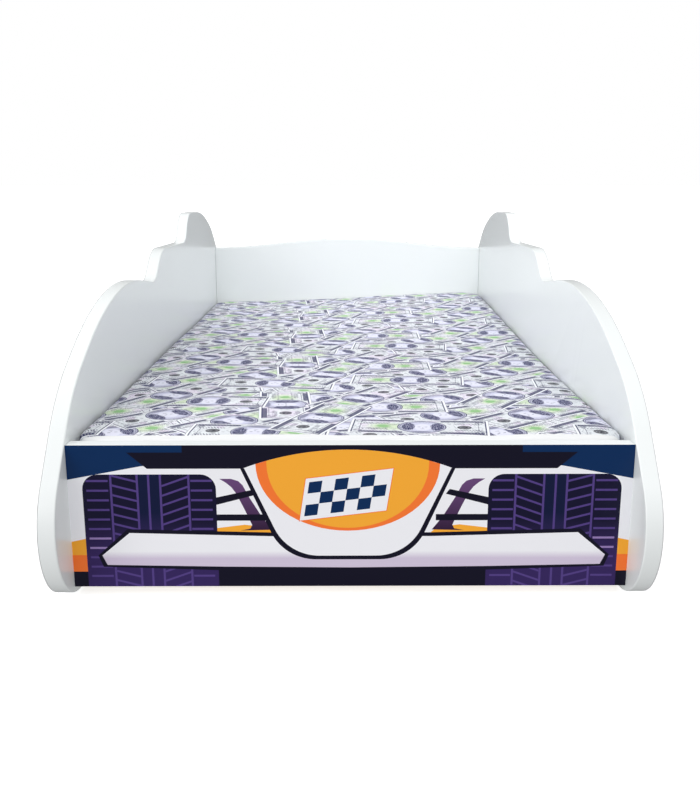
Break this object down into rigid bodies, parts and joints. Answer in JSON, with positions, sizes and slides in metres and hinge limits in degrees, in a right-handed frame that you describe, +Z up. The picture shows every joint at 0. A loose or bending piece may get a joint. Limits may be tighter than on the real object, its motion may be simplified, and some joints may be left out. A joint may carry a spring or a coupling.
{
  "type": "toddler bed",
  "caption": "Low toddler bed with car-outline side panels, a crested headboard, a printed footboard, a slatted base and a mattress.",
  "frame": {"origin": "middle of the whole object's box, at the floor", "axes": "+Z up, +Y from the foot end to the head end, +X to the right when seen from the foot end"},
  "size_m": [0.7646, 1.5456, 0.4553],
  "materials": {
    "white_board": "semi-gloss white lacquer on fibreboard",
    "foot_film": "printed film, satin, car front in orange, navy and purple",
    "side_film": "printed film, satin, car side",
    "pine": "planed pine",
    "beech": "fluted beech",
    "zinc": "bright zinc",
    "yellow_zinc": "yellow zinc plate",
    "steel": "plain steel",
    "white_plastic": "moulded",
    "grey_plastic": "moulded",
    "foam": "open-cell foam",
    "cover_fabric": "woven cotton print of scattered note-like rectangles",
    "zip_tape": "woven tape with nylon coil"
  },
  "bodies": {
    "frame": {"side_panel_left": "white_board", "side_panel_right": "white_board", "headboard": "white_board", "footboard": "white_board", "foot_print": "foot_film", "side_print_left": "side_film", "side_print_right": "side_film", "slat_rail_left": "pine", "slat_rail_right": "pine", "slat_1": "pine", "slat_2": "pine", "slat_3": "pine", "slat_4": "pine", "slat_5": "pine", "slat_6": "pine", "slat_7": "pine", "slat_8": "pine", "slat_9": "pine", "slat_10": "pine", "slat_11": "pine", "slat_12": "pine", "cam_locks": "zinc", "cam_bolts": "yellow_zinc", "cam_caps": "white_plastic", "dowels": "beech", "rail_screws": "yellow_zinc", "slat_screws": "yellow_zinc", "glide_front_left": "grey_plastic", "glide_front_right": "grey_plastic", "glide_rear_left": "grey_plastic", "glide_rear_right": "grey_plastic", "glide_nails": "steel"},
    "mattress": {"mattress_core": "foam", "mattress_cover": "cover_fabric", "zip_tape": "zip_tape"},
    "slider": {"zip_slider": "zinc", "zip_pull": "zinc"}
  },
  "joints": [
    {"name": "mattress_lift", "type": "slide", "parent": "frame", "child": "mattress", "axis": [0, 0, 1], "range_m": [0, 0.3]},
    {"name": "zip_slide", "type": "slide", "parent": "mattress", "child": "slider", "axis": [-1, 0, 0], "range_m": [0, 0.6]}
  ]
}
